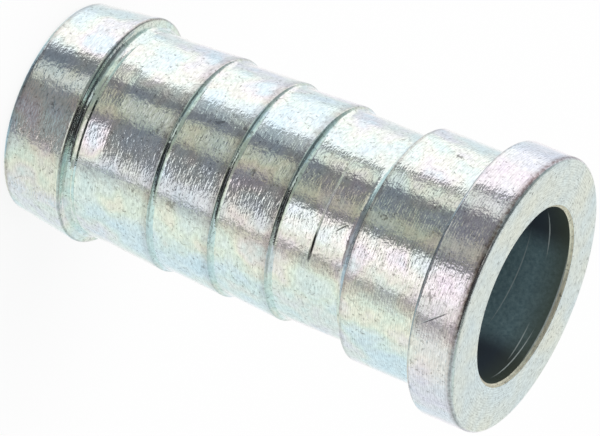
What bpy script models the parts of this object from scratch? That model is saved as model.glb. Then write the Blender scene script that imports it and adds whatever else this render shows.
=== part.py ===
"""Barbed hose nipple with a flat-sealing collar, turned from one round bar.

The nipple stands on its nose with its axis along +Z. The origin is the centre of
the nose's end face, and the collar with its sealing face is at the top. A hose is
pushed over the nose and the barbs up to the neck. A union nut slides over the nose
and pulls the collar against a flat gasket.
"""
import math

import bmesh
import bpy

MM = 0.001

# Collar: its top is the sealing face, and its outer edges are broken
COLLAR_DIAMETER = 24.0 * MM
COLLAR_WIDTH = 4.35 * MM
COLLAR_FRONT_BREAK = 0.42 * MM
COLLAR_REAR_BREAK = 0.34 * MM

# Neck: the stop for the hose end, under the collar
NECK_DIAMETER = 20.5 * MM
NECK_LENGTH = 7.3 * MM
NECK_TOP_FILLET = 0.4 * MM
NECK_EDGE_BREAK = 0.06 * MM
NECK_FOOT_FILLET = 1.05 * MM

# Barrel: plain between the neck and the first barb, and again in the relief behind the nose
BARREL_DIAMETER = 18.25 * MM
BARREL_LENGTH = 7.45 * MM
RELIEF_LENGTH = 3.0 * MM

# Barbs: each crest has a steep face towards the collar, and its ramp runs down to the nose
BARB_DIAMETER = 18.98 * MM
BARB_ROOT_DIAMETER = 18.35 * MM
BARB_RAMPS = (5.5 * MM, 5.9 * MM)
LAST_RAMP = 5.3 * MM
BARB_FACE_LEAN = 0.25 * MM
BARB_CREST_ROUND = 0.15 * MM
BARB_ROOT_FILLET = 0.5 * MM

# Nose: the largest barb, with a tapered lead-in to the end face
NOSE_DIAMETER = 20.1 * MM
NOSE_TIP_DIAMETER = 18.5 * MM
NOSE_LENGTH = 6.1 * MM
NOSE_FACE_LEAN = 0.1 * MM
NOSE_CREST_ROUND = 0.25 * MM
NOSE_ROOT_FILLET = 0.65 * MM
NOSE_TIP_ROUND = 0.6 * MM

# Bore: one drilled hole right through, chamfered at both mouths
BORE_DIAMETER = 15.4 * MM
COLLAR_MOUTH_CHAMFER = 0.28 * MM
NOSE_MOUTH_CHAMFER = 0.4 * MM

# Zinc plating
PLATING_COLOUR = (0.60, 0.61, 0.56, 1.0)
PLATING_ROUGHNESS = 0.32

# Facets: steps of a full turn, and of the arcs of wide, usual and tiny roundings
TURN_STEPS = 72
WIDE_ARC = 5
USUAL_ARC = 2
TINY_ARC = 1
SHARP_ANGLE = math.radians(28)
WELD_DISTANCE = 0.001 * MM

# Two roundings that share an edge leave this much of it straight between them
STRAIGHT_SHARE = 0.02


def corner(radius, height, rounding=0.0, arc_steps=USUAL_ARC):
    """One corner of the section, and how far and how finely it is rounded."""
    return {"at": (radius, height), "rounding": rounding, "arc_steps": arc_steps}


def edge_between(start, end):
    """Length and direction of the edge from one corner to another."""
    run = end["at"][0] - start["at"][0]
    rise = end["at"][1] - start["at"][1]
    length = math.hypot(run, rise)
    return length, (run / length, rise / length)


def half_angle(before, here, after):
    """Half of the angle between the two edges that meet at a corner."""
    _, back = edge_between(here, before)
    _, ahead = edge_between(here, after)
    cosine = back[0] * ahead[0] + back[1] * ahead[1]
    return 0.5 * math.acos(max(-1.0, min(1.0, cosine)))


def wanted_reach(before, here, after):
    """How far along its edges a corner's full rounding would begin."""
    return here["rounding"] / math.tan(half_angle(before, here, after))


def corner_arc(before, here, after, reach):
    """The arc that leaves one edge and meets the other at a tangent, reach from the corner."""
    if reach == 0.0:
        return [here["at"]]
    radius, height = here["at"]
    half = half_angle(before, here, after)
    arc_radius = reach * math.tan(half)
    _, back = edge_between(here, before)
    _, ahead = edge_between(here, after)
    middle = (back[0] + ahead[0], back[1] + ahead[1])
    to_centre = arc_radius / math.sin(half) / math.hypot(*middle)
    centre = (radius + to_centre * middle[0], height + to_centre * middle[1])
    first = math.atan2(height + reach * back[1] - centre[1], radius + reach * back[0] - centre[0])
    last = math.atan2(height + reach * ahead[1] - centre[1], radius + reach * ahead[0] - centre[0])
    sweep = (last - first + math.pi) % (2 * math.pi) - math.pi
    angles = [first + sweep * step / here["arc_steps"] for step in range(here["arc_steps"] + 1)]
    return [(centre[0] + arc_radius * math.cos(angle), centre[1] + arc_radius * math.sin(angle))
            for angle in angles]


def rounded_section(corners):
    """The closed section as points, with every rounded corner turned into its arc."""
    befores = corners[-1:] + corners[:-1]
    afters = corners[1:] + corners[:1]
    reaches = [wanted_reach(*three) for three in zip(befores, corners, afters)]
    shares = []
    for index, (here, after) in enumerate(zip(corners, afters)):
        wanted = reaches[index] + reaches[(index + 1) % len(reaches)]
        room = (1.0 - STRAIGHT_SHARE) * edge_between(here, after)[0]
        shares.append(min(1.0, room / wanted) if wanted else 1.0)
    points = []
    for index, three in enumerate(zip(befores, corners, afters)):
        points.extend(corner_arc(*three, reaches[index] * min(shares[index - 1], shares[index])))
    return points


def collar_corners(top, underside):
    """Sealing face, rim and underside of the collar."""
    collar_radius = COLLAR_DIAMETER / 2
    mouth_radius = BORE_DIAMETER / 2 + COLLAR_MOUTH_CHAMFER
    return [
        corner(mouth_radius, top),
        corner(collar_radius, top, COLLAR_FRONT_BREAK),
        corner(collar_radius, underside, COLLAR_REAR_BREAK),
    ]


def neck_corners(underside, neck_end):
    """Neck from the collar's underside to its free edge, and the step down to the barrel."""
    return [
        corner(NECK_DIAMETER / 2, underside, NECK_TOP_FILLET),
        corner(NECK_DIAMETER / 2, neck_end, NECK_EDGE_BREAK, TINY_ARC),
        corner(BARREL_DIAMETER / 2, neck_end, NECK_FOOT_FILLET, WIDE_ARC),
    ]


def barb_corners(crest_heights):
    """For each barb the foot of its steep face, then its crest."""
    corners = []
    for index, crest_height in enumerate(crest_heights):
        foot_diameter = BARREL_DIAMETER if index == 0 else BARB_ROOT_DIAMETER
        foot_height = crest_height + BARB_FACE_LEAN
        corners.append(corner(foot_diameter / 2, foot_height, BARB_ROOT_FILLET))
        corners.append(corner(BARB_DIAMETER / 2, crest_height, BARB_CREST_ROUND, TINY_ARC))
    return corners


def nose_corners():
    """Plain relief behind the nose, the nose's crest and its tapered lead-in."""
    return [
        corner(BARREL_DIAMETER / 2, NOSE_LENGTH + RELIEF_LENGTH),
        corner(BARREL_DIAMETER / 2, NOSE_LENGTH + NOSE_FACE_LEAN, NOSE_ROOT_FILLET, WIDE_ARC),
        corner(NOSE_DIAMETER / 2, NOSE_LENGTH, NOSE_CREST_ROUND),
        corner(NOSE_TIP_DIAMETER / 2, 0.0, NOSE_TIP_ROUND, WIDE_ARC),
    ]


def bore_corners(top):
    """Bore from its lower chamfer up to its upper one."""
    bore_radius = BORE_DIAMETER / 2
    return [
        corner(bore_radius + NOSE_MOUTH_CHAMFER, 0.0),
        corner(bore_radius, NOSE_MOUTH_CHAMFER),
        corner(bore_radius, top - COLLAR_MOUTH_CHAMFER),
    ]


def nipple_section():
    """Half section of the nipple, down its outer side and back up its bore."""
    crest_heights = [NOSE_LENGTH + RELIEF_LENGTH + LAST_RAMP]
    for ramp in reversed(BARB_RAMPS):
        crest_heights.insert(0, crest_heights[0] + ramp)
    neck_end = crest_heights[0] + BARREL_LENGTH
    underside = neck_end + NECK_LENGTH
    top = underside + COLLAR_WIDTH
    corners = collar_corners(top, underside)
    corners += neck_corners(underside, neck_end)
    corners += barb_corners(crest_heights)
    corners += nose_corners()
    corners += bore_corners(top)
    return rounded_section(corners)


def plated_steel():
    """Bright zinc plating on turned steel."""
    material = bpy.data.materials.new("zinc_plated_steel")
    material.use_nodes = True
    shader = material.node_tree.nodes["Principled BSDF"]
    shader.inputs["Base Color"].default_value = PLATING_COLOUR
    shader.inputs["Metallic"].default_value = 1.0
    shader.inputs["Roughness"].default_value = PLATING_ROUGHNESS
    return material


def turned_body(name, section, material):
    """Turn a closed half section about the Z axis into one solid."""
    mesh = bpy.data.meshes.new(name)
    form = bmesh.new()
    points = [form.verts.new((radius, 0.0, height)) for radius, height in section]
    for index, point in enumerate(points):
        form.edges.new((point, points[(index + 1) % len(points)]))
    form.to_mesh(mesh)
    form.free()
    mesh.materials.append(material)
    body = bpy.data.objects.new(name, mesh)
    bpy.context.collection.objects.link(body)
    turning = body.modifiers.new("turning", "SCREW")
    turning.axis = "Z"
    turning.angle = 2 * math.pi
    turning.steps = TURN_STEPS
    turning.render_steps = TURN_STEPS
    turning.use_merge_vertices = True
    turning.merge_threshold = WELD_DISTANCE
    turning.use_smooth_shade = True
    return body


def shade_by_angle(body):
    """Shade the round surfaces smooth and keep the turned edges crisp."""
    view = bpy.context.evaluated_depsgraph_get()
    mesh = bpy.data.meshes.new_from_object(body.evaluated_get(view))
    body.modifiers.clear()
    body.data = mesh
    mesh.shade_smooth()
    mesh.set_sharp_from_angle(angle=SHARP_ANGLE)


def main():
    """Build the nipple in an empty scene."""
    for leftover in list(bpy.data.objects):
        bpy.data.objects.remove(leftover, do_unlink=True)
    nipple = turned_body("hose_nipple", nipple_section(), plated_steel())
    shade_by_angle(nipple)


main()
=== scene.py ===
# %% [markdown]
# # Hose nipple: one turned piece of steel under bright zinc
#
# The real thing is cut from a round bar in a lathe, drilled through, and zinc plated in a barrel.
# Its whole look comes from three things: crisp turned edges, a bright mirror that is slightly
# mottled by the plating barrel, and the long bands of light and dark that a round mirror shows of
# the room. So this script turns a fine section, builds the plating as one material, and hangs a
# light tent round the piece for it to reflect.

# %% Load the fixed model
import math

import bmesh
import bpy
from mathutils import Matrix, Vector, noise


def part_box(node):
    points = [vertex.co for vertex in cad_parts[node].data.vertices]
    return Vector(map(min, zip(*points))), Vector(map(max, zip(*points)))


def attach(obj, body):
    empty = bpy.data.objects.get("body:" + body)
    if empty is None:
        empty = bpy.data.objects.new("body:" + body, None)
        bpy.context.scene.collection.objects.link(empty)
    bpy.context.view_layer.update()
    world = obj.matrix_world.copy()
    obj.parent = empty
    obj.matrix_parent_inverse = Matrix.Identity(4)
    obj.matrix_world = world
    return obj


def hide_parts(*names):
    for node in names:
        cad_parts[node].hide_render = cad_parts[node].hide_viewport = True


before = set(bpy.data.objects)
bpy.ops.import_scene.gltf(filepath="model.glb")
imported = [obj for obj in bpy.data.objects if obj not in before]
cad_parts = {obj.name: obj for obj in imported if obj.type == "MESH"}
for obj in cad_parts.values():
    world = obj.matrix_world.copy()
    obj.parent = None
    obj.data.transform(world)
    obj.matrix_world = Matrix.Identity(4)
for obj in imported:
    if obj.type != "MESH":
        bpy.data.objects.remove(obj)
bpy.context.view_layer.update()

MM = 0.001
cad_low, cad_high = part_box("hose_nipple")
print("nodes:", sorted(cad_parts), "size in mm:", [round(side / MM, 2) for side in cad_high - cad_low])

# %% [markdown]
# ## The sizes of the turned form
#
# The collar's radius and the whole length are read from the fixed model, and the other sizes are
# those of the drawing that it was turned from. Heights are counted in millimetres from the nose's
# end face, which stands on the floor.

# %% Sizes of the section
COLLAR_RADIUS = cad_high.x / MM
LENGTH = cad_high.z / MM
COLLAR_WIDTH = 4.35
COLLAR_FRONT_BREAK = 0.42
COLLAR_REAR_BREAK = 0.34
NECK_RADIUS = 10.25
NECK_LENGTH = 7.3
NECK_TOP_FILLET = 0.4
NECK_EDGE_BREAK = 0.06
NECK_FOOT_FILLET = 1.05
BARREL_RADIUS = 9.125
BARREL_LENGTH = 7.45
BARB_RADIUS = 9.49
BARB_ROOT_RADIUS = 9.175
BARB_RAMPS = (5.5, 5.9)
BARB_FACE_LEAN = 0.25
BARB_CREST_ROUND = 0.15
BARB_ROOT_FILLET = 0.5
NOSE_RADIUS = 10.05
NOSE_TIP_RADIUS = 9.25
NOSE_LENGTH = 6.1
NOSE_FACE_LEAN = 0.1
NOSE_CREST_ROUND = 0.25
NOSE_ROOT_FILLET = 0.65
NOSE_TIP_ROUND = 0.6
RELIEF_LENGTH = 3.0
UNDERCUT_DEPTH = 0.10
UNDERCUT_WIDTH = 0.20
UNDERCUT_WALL = 0.02
BORE_RADIUS = 7.7
COLLAR_MOUTH_CHAMFER = 0.28
NOSE_MOUTH_CHAMFER = 0.4

underside = LENGTH - COLLAR_WIDTH
neck_end = underside - NECK_LENGTH
crests = [neck_end - BARREL_LENGTH]
for ramp in BARB_RAMPS:
    crests.append(crests[-1] - ramp)
relief_top = NOSE_LENGTH + RELIEF_LENGTH
undercut_top = NOSE_LENGTH + NOSE_FACE_LEAN + NOSE_ROOT_FILLET + UNDERCUT_WIDTH
heights = (underside, neck_end, *crests, relief_top, NOSE_LENGTH)
print("heights in mm:", [round(height, 2) for height in heights])

# %% [markdown]
# ## The section, drawn sharp and then rounded
#
# A turner's drawing is a closed half section. It could be typed in with all the points of its
# roundings, but a drawing gives sharp corners and a radius for each. So the sharp corners are
# joined into one face, and each corner is then beveled to its own radius. At the nose's foot the
# tool has left a shallow undercut, with a wall on the barrel's side and a slope on the nose's. It is
# too small for the fixed model, but it draws a thin black line round the piece.

# %% The sharp corners: radius, height, rounding, steps of the rounding
mouth_radius = BORE_RADIUS + COLLAR_MOUTH_CHAMFER
corners = [
    (mouth_radius, LENGTH, 0.05, 2),
    (COLLAR_RADIUS, LENGTH, COLLAR_FRONT_BREAK, 8),
    (COLLAR_RADIUS, underside, COLLAR_REAR_BREAK, 5),
    (NECK_RADIUS, underside, NECK_TOP_FILLET, 6),
    (NECK_RADIUS, neck_end, NECK_EDGE_BREAK, 4),
    (BARREL_RADIUS, neck_end, NECK_FOOT_FILLET, 12),
]
for number, crest in enumerate(crests):
    foot_radius = BARREL_RADIUS if number == 0 else BARB_ROOT_RADIUS
    corners.append((foot_radius, crest + BARB_FACE_LEAN, BARB_ROOT_FILLET, 6))
    corners.append((BARB_RADIUS, crest, BARB_CREST_ROUND, 4))
corners += [
    (BARREL_RADIUS, relief_top, 0.0, 1),
    (BARREL_RADIUS, undercut_top, 0.0, 1),
    (BARREL_RADIUS - UNDERCUT_DEPTH, undercut_top - UNDERCUT_WALL, 0.01, 2),
    (BARREL_RADIUS, undercut_top - UNDERCUT_WIDTH, 0.0, 1),
    (BARREL_RADIUS, NOSE_LENGTH + NOSE_FACE_LEAN, NOSE_ROOT_FILLET, 10),
    (NOSE_RADIUS, NOSE_LENGTH, NOSE_CREST_ROUND, 6),
    (NOSE_TIP_RADIUS, 0.0, NOSE_TIP_ROUND, 8),
    (BORE_RADIUS + NOSE_MOUTH_CHAMFER, 0.0, 0.05, 2),
    (BORE_RADIUS, NOSE_MOUTH_CHAMFER, 0.0, 1),
    (BORE_RADIUS, LENGTH - COLLAR_MOUTH_CHAMFER, 0.0, 1),
]


def reach(number):
    """How far along its two edges a corner's rounding begins, in mm."""
    here = Vector(corners[number][:2])
    back = Vector(corners[number - 1][:2]) - here
    ahead = Vector(corners[(number + 1) % len(corners)][:2]) - here
    return corners[number][2] / math.tan(back.angle(ahead) / 2)


print("corners:", len(corners), "reaches in mm:", [round(reach(n), 2) for n in range(len(corners))])

# %% [markdown]
# Two roundings on one short edge must share it. Where both together are longer than the edge,
# as on the low steps behind the crests, both shrink by the same factor.

# %% Share out the short edges
STRAIGHT_LEFT = 0.98
reaches = [reach(number) for number in range(len(corners))]
shares = []
for number in range(len(corners)):
    after = (number + 1) % len(corners)
    edge = (Vector(corners[after][:2]) - Vector(corners[number][:2])).length
    wanted = reaches[number] + reaches[after]
    shares.append(min(1.0, STRAIGHT_LEFT * edge / wanted) if wanted else 1.0)
reaches = [reaches[number] * min(shares[number - 1], shares[number]) for number in range(len(corners))]
print("shared reaches in mm:", [round(value, 2) for value in reaches])

# %% Draw the section and bevel its corners
section = bmesh.new()
points = [section.verts.new((radius * MM, 0.0, height * MM)) for radius, height, _, _ in corners]
section.faces.new(points)
for point, offset, (_, _, _, steps) in zip(points, reaches, corners):
    if offset:
        bmesh.ops.bevel(section, geom=[point], offset=offset * MM, offset_type="OFFSET", segments=steps,
                        profile=0.5, affect="VERTICES", material=-1)
print("points after the bevels:", len(section.verts))

# %% [markdown]
# ## Short steps along the section
#
# Smooth shading spreads a rounding's tilt over the whole next face. Real turned edges are crisp,
# so each straight run gets a point close to both of its ends, and the middle is cut into short
# steps that can later carry dents.

# %% Cut the straight runs
HOLD = 0.03 * MM
SHORTEST_CUT = 6 * HOLD
OUTER_STEP = 0.36 * MM
BORE_STEP = 1.6 * MM
BORE_MARGIN = 0.001
bore_limit = (BORE_RADIUS + BORE_MARGIN) * MM
for edge in list(section.edges):
    length = edge.calc_length()
    if length < SHORTEST_CUT:
        continue
    start, end = edge.verts
    _, held_start = bmesh.utils.edge_split(edge, start, HOLD / length)
    rest_of_run = next(part for part in held_start.link_edges if end in part.verts)
    _, held_end = bmesh.utils.edge_split(rest_of_run, end, HOLD / (length - HOLD))
    middle = next(part for part in held_end.link_edges if held_start in part.verts)
    in_bore = max(start.co.x, end.co.x) < bore_limit
    cuts = int(length / (BORE_STEP if in_bore else OUTER_STEP))
    bmesh.ops.subdivide_edges(section, edges=[middle], cuts=cuts)
print("points on the section:", len(section.verts))

# %% [markdown]
# ## What the finish needs to know
#
# The lathe's grooves run round the piece on every surface, on the flat collar face as well as on
# the barrel. A material can follow them only if it knows how far along the section it is, so each
# point keeps that distance, in millimetres. It also keeps how worn it is, how strong the feed
# marks are, whether it lies on an end face, which is faced to satin, and whether it lies on the
# mouth's chamfer, which a chattering countersink has left dull and which gets a painted cream
# highlight. Wear and satin are full up to 0.6 of their reach, and fade out at 1.6 of it. All this is
# set before turning, because spin copies it to every point that it makes.

# %% Where the edges are worn: radius, height and reach in mm, and strength
WORN_EDGES = (
    (COLLAR_RADIUS - 0.02, LENGTH - 0.30, 0.16, 0.9),
    (COLLAR_RADIUS - 0.1, underside + 0.1, 0.18, 0.5),
    (NECK_RADIUS, neck_end, 0.12, 0.55),
    (NOSE_RADIUS, NOSE_LENGTH, 0.16, 0.75),
    (NOSE_TIP_RADIUS + 0.03, 0.5, 0.15, 0.45),
    (mouth_radius - 0.14, LENGTH - 0.14, 0.14, 0.2),
    *((BARB_RADIUS, crest - 0.20, 0.28, 0.40) for crest in crests),
)
print("worn edges:", len(WORN_EDGES))

# %% Measure along the section, and paint wear, feed marks and dull faces on its points
FADE_END = 1.6
FEED_ON_COLLAR_AND_NECK = 1.0
FEED_ELSEWHERE = 0.35
SATIN_REACH = 0.10 * MM
MOUTH_MARGIN = 0.02
WELD = 0.0005 * MM
countersunk_radius = (mouth_radius - MOUTH_MARGIN) * MM
countersunk_height = (LENGTH - COLLAR_MOUTH_CHAMFER) * MM - WELD
tool_path = section.verts.layers.float.new("tool_path")
edge_wear = section.verts.layers.float.new("edge_wear")
feed_marks = section.verts.layers.float.new("feed_marks")
satin_face = section.verts.layers.float.new("satin_face")
countersunk = section.verts.layers.float.new("countersunk")
section.faces.ensure_lookup_table()
loop = section.faces[0].verts[:]
travelled = 0.0
for before, here in zip(loop[-1:] + loop, loop):
    travelled += (here.co - before.co).length / MM
    here[tool_path] = travelled
    for edge_radius, edge_height, wear_reach, strength in WORN_EDGES:
        distance = math.hypot(here.co.x / MM - edge_radius, here.co.z / MM - edge_height)
        worn_here = strength * min(1.0, max(0.0, FADE_END - distance / wear_reach))
        here[edge_wear] = max(here[edge_wear], worn_here)
    here[feed_marks] = FEED_ON_COLLAR_AND_NECK if here.co.z > neck_end * MM else FEED_ELSEWHERE
    to_an_end = min(abs(here.co.z), abs(here.co.z - LENGTH * MM))
    here[satin_face] = min(1.0, max(0.0, FADE_END - to_an_end / SATIN_REACH))
    if here.co.x < countersunk_radius and here.co.z > countersunk_height:
        here[countersunk] = 1.0
print("tool path in mm:", round(travelled, 1))

# %% [markdown]
# ## Turning
#
# A lathe makes every point of the section a circle, and spin does the same. The face goes first,
# and only its outline is spun. A full spin merges its two ends, and the normals are set outwards
# after that.

# %% Spin the outline
TURN_STEPS = 288
bmesh.ops.delete(section, geom=section.faces[:], context="FACES_ONLY")
bmesh.ops.spin(section, geom=section.verts[:] + section.edges[:], cent=(0, 0, 0), axis=(0, 0, 1),
               angle=2 * math.pi, steps=TURN_STEPS, use_merge=True)
bmesh.ops.remove_doubles(section, verts=section.verts[:], dist=WELD)
bmesh.ops.recalc_face_normals(section, faces=section.faces[:])
open_edges = sum(not edge.is_manifold for edge in section.edges)
print("points:", len(section.verts), "faces:", len(section.faces), "open edges:", open_edges)

# %% [markdown]
# ## Handling marks in the form
#
# Parts fall over each other in the plating barrel and in the box. The sharpest edges take small
# inward dents, and one blow has left a flat on the collar's front edge: there every point beyond a
# slanted plane is pushed back onto it. Points only move inwards, so that the piece never grows.

# %% Dent the edges: radius, height and greatest depth of each, in mm
DENTED_EDGES = (
    (COLLAR_RADIUS, LENGTH, 0.045),
    (COLLAR_RADIUS, underside, 0.03),
    (NECK_RADIUS, neck_end, 0.02),
    (NOSE_RADIUS, NOSE_LENGTH, 0.03),
)
DENT_REACH = 0.45
DENT_LENGTH = 0.9
moved = 0
for vert in section.verts:
    radius = math.hypot(vert.co.x, vert.co.y) / MM
    inwards = 0.0
    for edge_radius, edge_height, depth in DENTED_EDGES:
        near = 1.0 - math.hypot(radius - edge_radius, vert.co.z / MM - edge_height) / DENT_REACH
        if near > 0.0:
            inwards += depth * near * max(0.0, noise.noise(vert.co / (DENT_LENGTH * MM)))
    if inwards:
        vert.co.x *= 1 - inwards / radius
        vert.co.y *= 1 - inwards / radius
        moved += 1
print("points dented:", moved)

# %% Flatten one spot
FLAT_AZIMUTH = math.radians(46.0)
FLAT_TILT = math.radians(40.0)
FLAT_DEPTH = 0.085
outwards = Vector((math.sin(FLAT_AZIMUTH), -math.cos(FLAT_AZIMUTH), 0.0))
flat_normal = math.cos(FLAT_TILT) * outwards + math.sin(FLAT_TILT) * Vector((0.0, 0.0, 1.0))
flat_distance = max(vert.co.dot(flat_normal) for vert in section.verts) - FLAT_DEPTH * MM
flattened = [vert for vert in section.verts if vert.co.dot(flat_normal) > flat_distance]
for vert in flattened:
    vert.co -= (vert.co.dot(flat_normal) - flat_distance) * flat_normal
print("points on the flat:", len(flattened))

# %% The turned piece
mesh = bpy.data.meshes.new("zinc_plated_nipple")
section.to_mesh(mesh)
section.free()
mesh.shade_smooth()
nipple = bpy.data.objects.new("zinc_plated_nipple", mesh)
bpy.context.collection.objects.link(nipple)
print("triangles:", 2 * len(mesh.polygons))

# %% [markdown]
# ## Helpers for the finishes
#
# Colours are given as hex values, and a shader wants them linear. Every shader tree
# is built from one helper that adds a node, sets its values and joins its inputs.

# %% Colour and node helpers


def colour(hex_value):
    """An sRGB hex colour as the four linear numbers that a shader takes."""
    parts = [int(hex_value[start:start + 2], 16) / 255 for start in (1, 3, 5)]
    linear = [part / 12.92 if part <= 0.04045 else ((part + 0.055) / 1.055) ** 2.4 for part in parts]
    return (*linear, 1.0)


def add(tree, kind, inputs=(), **settings):
    """Add a shader node. Inputs are a list in the sockets' order, or a dict by name or number.

    Each is a number or colour, a socket, or a node whose first output is joined.
    """
    node = tree.nodes.new("ShaderNode" + kind)
    for name, value in settings.items():
        setattr(node, name, value)
    pairs = inputs.items() if isinstance(inputs, dict) else enumerate(inputs)
    for key, value in pairs:
        if isinstance(value, bpy.types.Node):
            value = value.outputs[0]
        if isinstance(value, bpy.types.NodeSocket):
            tree.links.new(value, node.inputs[key])
        else:
            node.inputs[key].default_value = value
    return node


print("mid grey in linear:", round(colour("#808080")[0], 3))

# %% [markdown]
# ## Bright zinc plating
#
# Zinc is laid on in a turning barrel, then dipped in a thin blue-white passivation. The metal is
# a mirror that tumbling has peened, so its reflections are crisp in outline and speckled within.
# The passivation film is as thin as light's own wavelength and shows faint pink, green, yellow and
# blue clouds. Under it the lathe's grooves still run round the piece.

# %% The plating's material and its coordinates
plating = bpy.data.materials.new("bright_zinc_plated_turned_steel")
plating.use_nodes = True
tree = plating.node_tree
shader = tree.nodes["Principled BSDF"]
shader.inputs["Metallic"].default_value = 1.0
whole = add(tree, "TexCoord")
place = add(tree, "VectorMath", {0: whole.outputs["Object"], "Scale": 1 / MM}, operation="SCALE")
axes = add(tree, "SeparateXYZ", [place])
path = add(tree, "Attribute", attribute_name="tool_path").outputs["Fac"]
satin = add(tree, "Attribute", attribute_name="satin_face").outputs["Fac"]
NOISE_LOW = 0.3
NOISE_HIGH = 0.7
print("coordinates are in mm, and noises run mostly from", NOISE_LOW, "to", NOISE_HIGH)

# %% [markdown]
# ### Passivation clouds
#
# Two noises are mixed: broad clouds some 5 mm across, and blotches near 1 mm. A ramp turns them
# into the film's colours, all of them pale, because the film only tints the mirror. The film came
# out a little pinker on the collar, which hangs in the bath with more of the current on it. The dull
# chamfer of the mouth is painted cream, a painted highlight.

# %% Clouds of colour
CLOUD_SIZE = 5.0
BLOTCH_SIZE = 1.1
BLOTCH_SHARE = 0.13
FILM_COLOURS = ((0.34, "#DAEDF5"), (0.43, "#E3F0F4"), (0.49, "#E4F1ED"),
                (0.55, "#EDF0E9"), (0.61, "#ECEAEE"), (0.68, "#DFEDF4"))
cloud = add(tree, "TexNoise", {"Vector": place, "Scale": 1 / CLOUD_SIZE, "Detail": 2.0, "Roughness": 0.55})
blotch = add(tree, "TexNoise", {"Vector": place, "Scale": 1 / BLOTCH_SIZE, "Detail": 3.0, "Roughness": 0.6})
blend = add(tree, "Mix", {"Factor": BLOTCH_SHARE, 2: cloud, 3: blotch}, data_type="FLOAT")
film = add(tree, "ValToRGB", [blend])
ramp_stops = film.color_ramp.elements
while len(ramp_stops) < len(FILM_COLOURS):
    ramp_stops.new(0.5)
for stop, (position, hex_value) in zip(ramp_stops, FILM_COLOURS):
    stop.position = position
    stop.color = colour(hex_value)
print("film colours:", len(ramp_stops))

# %% Tints of the collar and the end faces, and the painted cream highlight of the mouth's chamfer
COLLAR_SHARE = 0.55
COLLAR_PINK = colour("#EBE2F0")
FACE_BLUE = colour("#E4ECF1")
FACE_YELLOW = colour("#EFEEE6")
# The cream on the mouth's chamfer is a painted highlight.
CHAMFER_HIGHLIGHT_CREAM = colour("#FFF5E2")
on_collar = add(tree, "MapRange", [axes.outputs["Z"], underside - 1.0, underside + 1.5, 0.0, COLLAR_SHARE])
pinker = add(tree, "Mix", {"Factor": on_collar, 6: film, 7: COLLAR_PINK}, data_type="RGBA").outputs[2]
creamy = add(tree, "MapRange", [cloud, 0.35, 0.65, 0.0, 1.0])
face_film = add(tree, "Mix", {"Factor": creamy, 6: FACE_BLUE, 7: FACE_YELLOW}, data_type="RGBA").outputs[2]
facing = add(tree, "Mix", {"Factor": satin, 6: pinker, 7: face_film}, data_type="RGBA").outputs[2]
dull_and_highlit = add(tree, "Attribute", attribute_name="countersunk").outputs["Fac"]
# Paint the cream highlight on the mouth's chamfer.
tints_and_highlight = add(tree, "Mix", {"Factor": dull_and_highlit, 6: facing, 7: CHAMFER_HIGHLIGHT_CREAM}, data_type="RGBA").outputs[2]
print("share of the collar's own tint:", COLLAR_SHARE)

# %% [markdown]
# ### Grain, grooves, peening and scratches
#
# The height of the surface is added up in millimetres. The grain and the grooves are stretched
# round the axis, because the tool drew them that way. Peening and soft dents come from tumbling and
# have no direction. The scratches are where a soft noise crosses its middle value, which makes thin
# curved lines, and a second noise keeps only short pieces of them.

# %% Grooves along the tool's path
GRAIN_SIZE = 0.18
GRAIN_STRETCH = 0.4
GROOVE_WIDTH = 0.17
GROOVE_STRETCH = 0.2
FEED = 0.21


def stretched(factor):
    """Coordinates in mm along the tool's path, drawn out round the axis by one over the factor."""
    turned_x = add(tree, "Math", [axes.outputs["X"], factor], operation="MULTIPLY")
    turned_y = add(tree, "Math", [axes.outputs["Y"], factor], operation="MULTIPLY")
    return add(tree, "CombineXYZ", [turned_x, turned_y, path])


grain = add(tree, "TexNoise", {"Vector": stretched(GRAIN_STRETCH), "Scale": 1 / GRAIN_SIZE, "Detail": 1.0})
groove_place = stretched(GROOVE_STRETCH)
groove = add(tree, "TexNoise", {"Vector": groove_place, "Scale": 1 / GROOVE_WIDTH, "Detail": 2.0})
feed_angle = add(tree, "Math", [path, 2 * math.pi / FEED], operation="MULTIPLY")
feed_wave = add(tree, "Math", [feed_angle], operation="SINE")
feed_mask = add(tree, "Attribute", attribute_name="feed_marks").outputs["Fac"]
feed = add(tree, "Math", [feed_wave, feed_mask], operation="MULTIPLY")
print("feed marks in mm:", FEED)

# %% Peening, dents and scratches
PEEN_SIZE = 0.38
DENT_SIZE = 1.5
SCRATCH_SPREAD = 2.2
SCRATCH_PATCH = 0.45
SCRATCH_CORE = 0.004
SCRATCH_EDGE = 0.014
peen = add(tree, "TexNoise", {"Vector": place, "Scale": 1 / PEEN_SIZE, "Detail": 2.0, "Roughness": 0.6})
dent = add(tree, "TexNoise", {"Vector": place, "Scale": 1 / DENT_SIZE, "Detail": 1.0})
wander = add(tree, "TexNoise", {"Vector": place, "Scale": 1 / SCRATCH_SPREAD, "Detail": 2.0})
from_middle = add(tree, "Math", [wander, 0.5], operation="SUBTRACT")
from_line = add(tree, "Math", [from_middle], operation="ABSOLUTE")
line = add(tree, "MapRange", [from_line, SCRATCH_CORE, SCRATCH_EDGE, 1.0, 0.0],
           interpolation_type="SMOOTHSTEP")
patch = add(tree, "TexNoise", {"Vector": place, "Scale": 1 / SCRATCH_PATCH, "Detail": 0.0})
kept = add(tree, "MapRange", [patch, 0.55, 0.65, 0.0, 1.0], interpolation_type="SMOOTHSTEP")
scratch = add(tree, "Math", [line, kept], operation="MULTIPLY")
print("short scratches about", SCRATCH_SPREAD, "mm apart")

# %% [markdown]
# ### Single marks
#
# A few marks stand out on this piece: a long groove round the barrel that ends in a gash, a slanted
# scratch by it, another across the collar, and some dark stains. Each is an ellipse on the unrolled
# surface, given by its azimuth and slant in degrees, its height, half length and half width in
# millimetres, and its strength. Unrolling keeps them round the piece, where a flat projection would
# smear them. A noise pushes the stains' coordinates about, so that their outlines are ragged. The gash
# and the two scratches are also painted near-black, which is painted shade inside them.

# %% Ellipses on the unrolled surface
UNROLLED_RADIUS = 10.0
MARK_CORE = 0.5
MARK_RIM = 1.1


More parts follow.
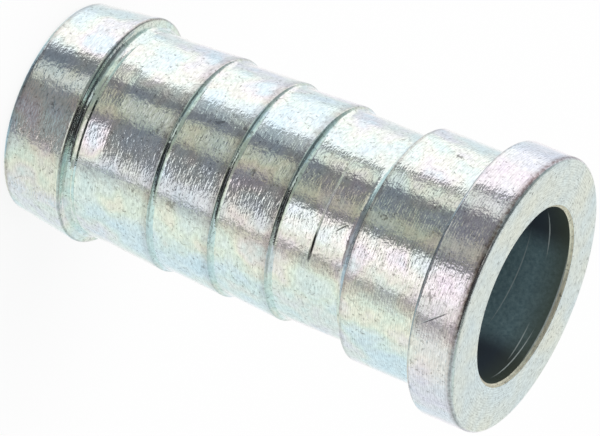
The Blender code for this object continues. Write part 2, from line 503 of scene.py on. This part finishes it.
def unrolled(tree, axes, facing_back=False):
    """Coordinates in mm round the piece and up it, counted from the camera's side or its back."""
    signed_y = add(tree, "Math", [axes.outputs["Y"], 1.0 if facing_back else -1.0], operation="MULTIPLY")
    angle = add(tree, "Math", [axes.outputs["X"], signed_y], operation="ARCTAN2")
    around = add(tree, "Math", [angle, UNROLLED_RADIUS], operation="MULTIPLY")
    return add(tree, "CombineXYZ", [around, axes.outputs["Z"]])


def marks(tree, surface, ellipses):
    """A mask of soft ellipses: azimuth, height, half length, half width, slant and strength of each."""
    mask = 0.0
    for azimuth, height, half_length, half_width, slant, strength in ellipses:
        around = math.radians(azimuth) * UNROLLED_RADIUS
        placed = add(tree, "Mapping", {"Vector": surface, "Location": (around, height, 0.0),
                                       "Rotation": (0.0, 0.0, math.radians(slant)),
                                       "Scale": (half_length, half_width, 1.0)}, vector_type="TEXTURE")
        away = add(tree, "VectorMath", [placed], operation="LENGTH").outputs["Value"]
        inside = add(tree, "MapRange", [away, MARK_CORE, MARK_RIM, strength, 0.0],
                     interpolation_type="SMOOTHSTEP")
        mask = add(tree, "Math", [mask, inside], operation="MAXIMUM")
    return mask


print("unrolled at a radius of", UNROLLED_RADIUS, "mm")

# %% The furrow and the cuts
FURROW = ((-9.0, 29.48, 4.6, 0.12, 0.0, 1.0),)
CUTS = (
    (16.5, 29.42, 1.55, 0.13, 0.0, 1.0),
    (22.5, 29.36, 0.85, 0.19, 0.0, 0.75),
    (3.5, 31.35, 0.7, 0.08, -40.0, 0.75),
    (22.0, 42.4, 1.5, 0.06, -55.0, 0.7),
)
outside = unrolled(tree, axes)
furrow = marks(tree, outside, FURROW)
cuts = marks(tree, outside, CUTS)
print("a furrow and", len(CUTS), "cuts")

# %% The stains
STAIN_RAGGED = 1.6
STAINS = (
    (-9.5, 34.9, 0.28, 0.32, 25.0, 0.6),
    (-5.5, 22.5, 0.6, 0.22, 20.0, 0.5),
    (-22.5, 17.6, 0.4, 0.4, 40.0, 0.5),
    (-8.0, 13.2, 0.7, 0.28, -15.0, 0.45),
    (26.0, 16.4, 0.35, 0.4, 0.0, 0.5),
    (-55.0, 37.2, 0.36, 0.22, 0.0, 0.7),
    (14.0, 41.6, 0.55, 0.35, 30.0, 0.55),
)
centred = add(tree, "VectorMath", [peen.outputs["Color"], (0.5, 0.5, 0.5)], operation="SUBTRACT")
pushed = add(tree, "VectorMath", {0: centred, "Scale": STAIN_RAGGED}, operation="SCALE")
ragged = add(tree, "VectorMath", [outside, pushed], operation="ADD")
stains = marks(tree, ragged, STAINS)
print("stains:", len(STAINS))

# %% Surface height: how deep each pattern goes, in mm
HEIGHTS = ((grain, 0.0078), (groove, 0.0090), (feed, 0.0010), (peen, 0.0195), (dent, 0.015),
           (scratch, -0.0030), (furrow, -0.016), (cuts, -0.010))
height = 0.0
for pattern, depth in HEIGHTS:
    height = add(tree, "Math", [pattern, depth, height], operation="MULTIPLY_ADD")
bump = add(tree, "Bump", {"Strength": 1.0, "Distance": MM, "Height": height})
print("patterns in the height:", len(HEIGHTS))

# %% [markdown]
# ### Speckle, stains, wear and roughness
#
# The grain also darkens the metal a little in its hollows, and so does every turn of the tool, which
# keeps the even parts from looking like plastic. Worn edges, scratches and stains are browner and
# duller, and the edges on one side are worn more than on the other. The furrow is torn metal, rough
# enough to look pale where the mirror round it is dark. The end faces are faced with a fine feed
# that scatters light, so they are satin while the turned sides are bright, and the mouth's chamfer
# is rougher still.

# %% Speckle, scratches and wear
SPECK_SIZE = 0.33
SPECK_START = 0.585
SPECK_FULL = 0.69
SPECK_SHADE = 0.55
SCRATCH_SHADE = 0.32
FEED_SHADE = 0.06
DARKEST_GRAIN = 0.84
BRIGHTEST_GRAIN = 1.11
WEAR_IN_GAPS = 0.55
WEAR_ON_FAR_SIDE = 0.65
speckle = add(tree, "MapRange", [grain, NOISE_LOW, NOISE_HIGH, DARKEST_GRAIN, BRIGHTEST_GRAIN])
lined = add(tree, "Math", [feed, FEED_SHADE, speckle], operation="MULTIPLY_ADD")
speck_noise = add(tree, "TexNoise",
                  {"Vector": place, "Scale": 1 / SPECK_SIZE, "Detail": 3.0, "Roughness": 0.7})
speck = add(tree, "MapRange", [speck_noise, SPECK_START, SPECK_FULL, 0.0, SPECK_SHADE],
            interpolation_type="SMOOTHSTEP")
scratch_shade = add(tree, "Math", [scratch, SCRATCH_SHADE], operation="MULTIPLY")
dark = speck
for shade in (scratch_shade, stains):
    dark = add(tree, "Math", [dark, shade], operation="MAXIMUM")
wear_mask = add(tree, "Attribute", attribute_name="edge_wear").outputs["Fac"]
wear_break = add(tree, "MapRange", [peen, 0.35, 0.60, WEAR_IN_GAPS, 1.0])
handled = add(tree, "MapRange", [axes.outputs["X"], 2.0, 9.0, 1.0, WEAR_ON_FAR_SIDE])
broken = add(tree, "Math", [wear_mask, wear_break], operation="MULTIPLY")
wear = add(tree, "Math", [broken, handled], operation="MULTIPLY")
print("specks about", SPECK_SIZE, "mm across")

# %% Base colour
WEAR_BROWN = colour("#705A58")
STAIN_GREY = colour("#4F4B49")
# The cuts' near-black is painted shade inside them.
CUT_SHADE_BLACK = colour("#242222")
speckled = add(tree, "VectorMath", {0: tints_and_highlight, "Scale": lined}, operation="SCALE")
worn = add(tree, "Mix", {"Factor": wear, 6: speckled, 7: WEAR_BROWN}, data_type="RGBA").outputs[2]
stained = add(tree, "Mix", {"Factor": dark, 6: worn, 7: STAIN_GREY}, data_type="RGBA").outputs[2]
# Paint the shade inside the cuts.
gash_shaded = add(tree, "Mix", {"Factor": cuts, 6: stained, 7: CUT_SHADE_BLACK}, data_type="RGBA").outputs[2]
tree.links.new(gash_shaded, shader.inputs["Base Color"])
print("worn, stained and gashed")

# %% Roughness: the mirror's least and most, the satin faces', and what each kind of damage adds
SMOOTHEST = 0.07
ROUGHEST = 0.13
SATIN_ROUGHNESS = 0.38
ADDED_ROUGHNESS = ((wear, 0.15), (furrow, 0.4), (dull_and_highlit, 0.38))
rough = add(tree, "MapRange", [blotch, NOISE_LOW, NOISE_HIGH, SMOOTHEST, ROUGHEST])
rough = add(tree, "Mix", {"Factor": satin, 2: rough, 3: SATIN_ROUGHNESS}, data_type="FLOAT")
for damage, added in ADDED_ROUGHNESS:
    rough = add(tree, "Math", [damage, added, rough], operation="MULTIPLY_ADD")
tree.links.new(rough.outputs[0], shader.inputs["Roughness"])
tree.links.new(bump.outputs[0], shader.inputs["Normal"])
mesh.materials.append(plating)
print("nodes in the plating:", len(tree.nodes))

# %% [markdown]
# ## The bore
#
# Plating barely reaches into a bore. The drill leaves dull dark steel with a blue-green cast, and the
# colour turns olive towards the mouth. Two wide patches of painted shade darken it at two sides. The
# boring tool also left marks near the mouth, painted as bright rings, which are painted highlights;
# the last ring is a painted highlight along the countersink's edge.

# %% The drilled bore's material, its painted highlight rings and its painted shade at two sides
BORE_METALLIC = 0.35
BORE_ROUGHNESS = 0.42
# Painted highlights: bright rings where the boring tool's marks catch the light; the last runs along the
# countersink's edge.
RING_HIGHLIGHTS = (
    (-48.0, 42.75, 3.6, 0.06, 0.0, 1.0),
    (-8.0, 40.6, 6.2, 0.06, -4.0, 0.6),
    (29.0, 43.4, 2.8, 0.06, 2.0, 0.8),
    (43.0, 43.85, 4.8, 0.06, -1.0, 1.0),
    (4.0, LENGTH - COLLAR_MOUTH_CHAMFER - 0.05, 7.0, 0.09, 0.0, 0.8),
)
# Painted shade: two wide dark patches at the bore's sides.
PAINTED_SIDE_SHADES = (
    (-68.0, 41.8, 6.5, 7.0, 0.0, 1.0),
    (60.0, 41.5, 6.0, 6.5, 0.0, 1.0),
)
bored = bpy.data.materials.new("drilled_thinly_plated_bore")
bored.use_nodes = True
tree = bored.node_tree
shader = tree.nodes["Principled BSDF"]
shader.inputs["Metallic"].default_value = BORE_METALLIC
shader.inputs["Roughness"].default_value = BORE_ROUGHNESS
whole = add(tree, "TexCoord")
place = add(tree, "VectorMath", {0: whole.outputs["Object"], "Scale": 1 / MM}, operation="SCALE")
axes = add(tree, "SeparateXYZ", [place])
inside = unrolled(tree, axes, facing_back=True)
ring_highlight_mask = marks(tree, inside, RING_HIGHLIGHTS)
painted_side_shade = marks(tree, inside, PAINTED_SIDE_SHADES)
print("rings:", len(RING_HIGHLIGHTS), "dark sides:", len(PAINTED_SIDE_SHADES))

# %% The bore's colours
MOTTLE_SIZE = 0.3
MOTTLE_COLOURS = ((0.3, "#69838B"), (0.7, "#8DA8AE"))
OLIVE_SHARE = 0.75
# The grey of the painted shade at the bore's sides.
SIDE_SHADE_GREY = colour("#454E58")
MOUTH_OLIVE = colour("#565C4A")
# The white of the painted highlight rings.
RING_HIGHLIGHT_WHITE = colour("#D5DEDC")
mottle = add(tree, "TexNoise", {"Vector": place, "Scale": 1 / MOTTLE_SIZE, "Detail": 3.0, "Roughness": 0.7})
shade = add(tree, "ValToRGB", [mottle])
for stop, (position, hex_value) in zip(shade.color_ramp.elements, MOTTLE_COLOURS):
    stop.position = position
    stop.color = colour(hex_value)
# Paint the shade at the bore's sides.
shaded = add(tree, "Mix", {"Factor": painted_side_shade, 6: shade, 7: SIDE_SHADE_GREY}, data_type="RGBA").outputs[2]
at_mouth = add(tree, "MapRange", [axes.outputs["Z"], LENGTH - 2.8, LENGTH - 0.5, 0.0, OLIVE_SHARE])
olive = add(tree, "Mix", {"Factor": at_mouth, 6: shaded, 7: MOUTH_OLIVE}, data_type="RGBA").outputs[2]
# Paint the highlight rings.
ring_highlighted = add(tree, "Mix", {"Factor": ring_highlight_mask, 6: olive, 7: RING_HIGHLIGHT_WHITE}, data_type="RGBA").outputs[2]
tree.links.new(ring_highlighted, shader.inputs["Base Color"])
mesh.materials.append(bored)
print("nodes in the bore:", len(tree.nodes))

# %% Give the bore's faces their material
BORE_SLOT = 1
bore_faces = 0
for face in mesh.polygons:
    farthest = max(math.hypot(*mesh.vertices[index].co[:2]) for index in face.vertices)
    if farthest < bore_limit:
        face.material_index = BORE_SLOT
        bore_faces += 1
print("faces in the bore:", bore_faces)

# %% [markdown]
# ## Floor
#
# The floor is plain and pale. For the camera most of it is its own white, so that it meets the
# background without a line, and a share stays diffuse, so that it keeps the piece's shadow.

# %% The floor
FLOOR_RADIUS = 3.0
FLOOR_SIDES = 96
FLOOR_DROP = 0.02 * MM
floor_form = bmesh.new()
bmesh.ops.create_circle(floor_form, cap_ends=True, segments=FLOOR_SIDES, radius=FLOOR_RADIUS)
bmesh.ops.translate(floor_form, verts=floor_form.verts[:], vec=(0, 0, -FLOOR_DROP))
floor_mesh = bpy.data.meshes.new("pale_floor")
floor_form.to_mesh(floor_mesh)
floor_form.free()
floor = bpy.data.objects.new("pale_floor", floor_mesh)
bpy.context.collection.objects.link(floor)
floor.visible_glossy = False
print("floor radius in m:", FLOOR_RADIUS)

# %% The floor's material
FLOOR_OWN_WHITE = 0.86
WHITE = (1.0, 1.0, 1.0, 1.0)
matt = bpy.data.materials.new("matt_white_floor")
matt.use_nodes = True
tree = matt.node_tree
tree.nodes.clear()
rays = add(tree, "LightPath")
share = add(tree, "Math", [rays.outputs["Is Camera Ray"], FLOOR_OWN_WHITE], operation="MULTIPLY")
painted = add(tree, "BsdfDiffuse", {"Color": colour("#F4F4F4")})
glowing = add(tree, "Emission", {"Color": WHITE, "Strength": 1.0})
mixed = add(tree, "MixShader", [share, painted, glowing])
add(tree, "OutputMaterial", [mixed])
floor_mesh.materials.append(matt)
print("the floor's own share of white:", FLOOR_OWN_WHITE)

# %% [markdown]
# ## Light tent
#
# A mirror is lit by what it reflects. Small shiny parts are photographed in a tent of white cloth
# with a dark opening for the camera, and each long band on the piece is one panel of that tent.
# Azimuths count from the camera's side, towards +X, in degrees; a height is the sine of the
# elevation. The plain cylinders reflect a height of about -0.38, the barbs' ramps -0.49 and the
# nose -0.61, so a panel can end between them. Behind the piece the azimuth jumps from 180 to
# -180, so what hangs there takes two panels, each of them open on that side. The camera sees plain
# white instead, and matt surfaces are lit evenly.

# %% The tent's coordinates
studio = bpy.data.worlds.new("light_tent")
bpy.context.scene.world = studio
studio.use_nodes = True
tree = studio.node_tree
tree.nodes.clear()
direction = add(tree, "SeparateXYZ", [add(tree, "TexCoord").outputs["Generated"]])
away_from_camera = add(tree, "Math", [direction.outputs["Y"], -1.0], operation="MULTIPLY")
turn = add(tree, "Math", [direction.outputs["X"], away_from_camera], operation="ARCTAN2")
azimuth = add(tree, "Math", [turn, math.degrees(1.0)], operation="MULTIPLY")
rise = direction.outputs["Z"]
CYLINDER_RISE = -0.38
sunk = add(tree, "Math", [CYLINDER_RISE, rise], operation="SUBTRACT")


def step(value, edge, soft, rising):
    """A mask that goes from 0 to 1 over the edge, or from 1 to 0 if it is not rising."""
    ends = (0.0, 1.0) if rising else (1.0, 0.0)
    return add(tree, "MapRange", [value, edge - soft, edge + soft, *ends], interpolation_type="SMOOTHSTEP")


def cloth(hex_value, strength):
    """The light that a cloth of this colour sends back, as four linear numbers."""
    return [channel * strength for channel in colour(hex_value)[:3]] + [1.0]


def panel(behind, left, right, rises, hex_value, strength, slants=(0.0, 0.0), soft=2.0, rise_soft=0.03):
    """Hang one panel over the colour behind it, and return the new colour.

    Left and right are azimuths at the cylinders' rise, and a slant is how far that side moves, in
    degrees, for each unit that the direction sinks below it.
    """
    masks = [step(rise, rises[0], rise_soft, True), step(rise, rises[1], rise_soft, False)]
    for side, slant, rising in ((left, slants[0], True), (right, slants[1], False)):
        value = add(tree, "Math", [sunk, -slant, azimuth], operation="MULTIPLY_ADD") if slant else azimuth
        masks.append(step(value, side, soft, rising))
    mask = masks[0]
    for other in masks[1:]:
        mask = add(tree, "Math", [mask, other], operation="MULTIPLY")
    return add(tree, "Mix", {"Factor": mask, 6: behind, 7: cloth(hex_value, strength)},
               data_type="RGBA").outputs[2]


print("tent coordinates ready")

# %% Cloth, white windows and the back
FLOOR_SIDE = -1.2
TOP = 1.2
OPEN_LEFT = -400
OPEN_RIGHT = 400
tent = add(tree, "RGB").outputs[0]
tent.default_value = cloth("#F3F9FF", 0.945)
tent = panel(tent, 32, OPEN_RIGHT, (FLOOR_SIDE, 0.3), "#F3FDFF", 0.915, soft=10)
tent = panel(tent, 20, 98, (FLOOR_SIDE, 0.3), "#FEFFF3", 0.95, soft=16)
tent = panel(tent, 50, 160, (FLOOR_SIDE, -0.56), "#FBFFF4", 0.84, soft=14)
tent = panel(tent, 20, 61, (FLOOR_SIDE, 0.3), "#FFFAEE", 0.72, soft=7)
tent = panel(tent, OPEN_LEFT, -160, (FLOOR_SIDE, 0.0), "#FFFCFD", 1.05, soft=10)
tent = panel(tent, 163, OPEN_RIGHT, (FLOOR_SIDE, 0.0), "#FFFCFD", 1.05, soft=12)
tent = panel(tent, -129, -69, (FLOOR_SIDE, 0.6), "#FBFCFC", 1.20, slants=(20, 40), soft=4)
tent = panel(tent, -104, -69, (FLOOR_SIDE, 0.6), "#FFFCFC", 1.22, slants=(20, 40), soft=7)
print("cloth and white windows hung")

# %% The dark opening, with what stands in it
tent = panel(tent, -70, 50, (FLOOR_SIDE, -0.10), "#F8F6FF", 0.25, slants=(32, 0), soft=2.5)
tent = panel(tent, -40, 46, (FLOOR_SIDE, -0.56), "#FFF5F6", 0.31, soft=3)
tent = panel(tent, -64, -49, (-0.43, 0.0), "#FEFFF6", 0.92, soft=3.5)
tent = panel(tent, -66, -53, (-0.56, -0.43), "#FFFFFF", 0.47, soft=3)
tent = panel(tent, -20, -8, (-0.43, -0.2), "#FFFBE5", 0.54, soft=7)
tent = panel(tent, -38, -11, (-0.55, -0.43), "#FFFBE5", 0.58, soft=4)
tent = panel(tent, -38, -19, (-0.80, -0.55), "#FFF8EC", 0.82, soft=5)
tent = panel(tent, 2.5, 45, (-0.43, -0.27), "#FFFBF5", 1.06, soft=4)
tent = panel(tent, 2.5, 28, (-0.43, -0.27), "#FFF8FA", 1.28, soft=3)
tent = panel(tent, 41, 58, (-0.362, -0.25), "#FFF8F4", 0.50, soft=6, rise_soft=0.012)
tent = panel(tent, 2, 47, (-0.9, -0.43), "#FFF5F5", 1.01, slants=(205, 0), soft=3)
print("dark opening hung")

# %% What only roundings reflect: the horizon, the camera's side, the roof and the floor
tent = panel(tent, -68, -45, (-0.25, 0.30), "#DAE5DA", 1.0, soft=5, rise_soft=0.06)
tent = panel(tent, -45, 54, (-0.25, TOP), "#A5ABA0", 1.0, soft=3, rise_soft=0.06)
tent = panel(tent, 3, 46, (-0.25, 0.20), "#F0F0E6", 1.0, soft=3, rise_soft=0.08)
tent = panel(tent, -24, 54, (0.42, TOP), "#232426", 1.0, soft=4, rise_soft=0.10)
tent = panel(tent, -24, 54, (0.66, 0.78), "#74767A", 1.0, soft=4, rise_soft=0.03)
tent = panel(tent, -34, -14, (0.64, 0.93), "#DADED8", 1.0, soft=6, rise_soft=0.05)
tent = panel(tent, 46, 64, (0.72, 0.93), "#7E8884", 1.0, soft=4, rise_soft=0.05)
tent = panel(tent, -150, -45, (0.31, TOP), "#B9C9C7", 1.0, soft=5, rise_soft=0.05)
tent = panel(tent, -150, -45, (0.46, TOP), "#A1B1B0", 1.0, soft=5, rise_soft=0.05)
tent = panel(tent, -150, -45, (0.73, TOP), "#656F70", 1.0, soft=5, rise_soft=0.06)
tent = panel(tent, 58, 150, (-0.25, 0.72), "#D9E9E6", 1.0, soft=4, rise_soft=0.06)
tent = panel(tent, 58, 150, (0.72, TOP), "#B9C8C2", 1.0, soft=4, rise_soft=0.06)
tent = panel(tent, OPEN_LEFT, OPEN_RIGHT, (0.94, TOP), "#2E2F30", 1.0)
tent = panel(tent, 140, OPEN_RIGHT, (0.06, 0.75), "#F4FAF5", 0.93, soft=8)
tent = panel(tent, OPEN_LEFT, -140, (0.06, 0.75), "#F4FAF5", 0.93, soft=8)
tent = panel(tent, OPEN_LEFT, -45, (FLOOR_SIDE, -0.80), "#D5E6EA", 1.0, soft=8)
tent = panel(tent, 50, OPEN_RIGHT, (FLOOR_SIDE, -0.80), "#C0D2D8", 1.0, soft=8)
tent = panel(tent, -50, 50, (FLOOR_SIDE, -0.69), "#7C8288", 1.0, soft=8)
tent = panel(tent, 8, 50, (-0.94, -0.66), "#ACB2B6", 1.0, soft=10)
tent = panel(tent, OPEN_LEFT, OPEN_RIGHT, (FLOOR_SIDE, -0.94), "#7C8288", 1.0)
print("nodes in the tent:", len(tree.nodes))

# %% What each kind of ray sees
EVEN_LIGHT = 0.8
rays = add(tree, "LightPath")
in_tent = add(tree, "Background", {"Color": tent, "Strength": 1.0})
plain = add(tree, "Background", {"Color": WHITE, "Strength": EVEN_LIGHT})
backdrop = add(tree, "Background", {"Color": WHITE, "Strength": 1.0})
reflected = add(tree, "MixShader", [rays.outputs["Is Glossy Ray"], plain, in_tent])
seen = add(tree, "MixShader", [rays.outputs["Is Camera Ray"], reflected, backdrop])
add(tree, "OutputWorld", [seen])
print("reflections see the tent, the camera sees white")

# %% [markdown]
# A soft lamp hangs high, a little towards -X and the camera, and lays the piece's faint shadow on
# the floor. Reflections don't show it.

# %% The lamp
LAMP_SIZE = 0.5
LAMP_WATTS = 2.2
LAMP_PLACE = (-0.25, -0.15, 0.75)
lamp_data = bpy.data.lights.new("overhead_softbox", "AREA")
lamp_data.shape = "DISK"
lamp_data.size = LAMP_SIZE
lamp_data.energy = LAMP_WATTS
lamp = bpy.data.objects.new("overhead_softbox", lamp_data)
lamp.location = LAMP_PLACE
lamp.rotation_euler = (-lamp.location).to_track_quat("-Z", "Y").to_euler()
lamp.visible_glossy = False
bpy.context.collection.objects.link(lamp)
print("lamp at:", [round(value, 2) for value in lamp.location])

# %% [markdown]
# ## Camera
#
# The photograph was taken with a long lens, looking down at the collar's face at 22 degrees, and
# turned so that the axis runs from top left to bottom right. The piece stands on its nose here, so
# the camera is rolled by more than a quarter turn instead.

# %% The camera at the photograph's viewing angle
ELEVATION = math.radians(22.374)
AXIS_IN_PICTURE = math.radians(-22.385)
LENS = 348.0
SENSOR_WIDTH = 36.0
FACE_RIGHT = 18.37
FACE_DOWN = 6.38
FACE_AWAY = 470.88
sideways = Vector((1.0, 0.0, 0.0))
upwards = Vector((0.0, math.sin(ELEVATION), math.cos(ELEVATION)))
backwards = Vector((0.0, -math.cos(ELEVATION), math.sin(ELEVATION)))
right = math.cos(AXIS_IN_PICTURE) * upwards + math.sin(AXIS_IN_PICTURE) * sideways
top = backwards.cross(right)
face_centre = Vector((0.0, 0.0, LENGTH))
position = (face_centre - FACE_RIGHT * right + FACE_DOWN * top + FACE_AWAY * backwards) * MM
camera_data = bpy.data.cameras.new("long_lens")
camera_data.lens = LENS
camera_data.sensor_width = SENSOR_WIDTH
camera = bpy.data.objects.new("long_lens", camera_data)
camera.matrix_world = Matrix((
    (right.x, top.x, backwards.x, position.x),
    (right.y, top.y, backwards.y, position.y),
    (right.z, top.z, backwards.z, position.z),
    (0.0, 0.0, 0.0, 1.0),
))
bpy.context.collection.objects.link(camera)
bpy.context.scene.camera = camera
print("camera from the origin in mm:", round(position.length / MM, 1))

# %% Hand over
bpy.context.scene.view_settings.view_transform = "Standard"
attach(nipple, "root")
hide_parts("hose_nipple")
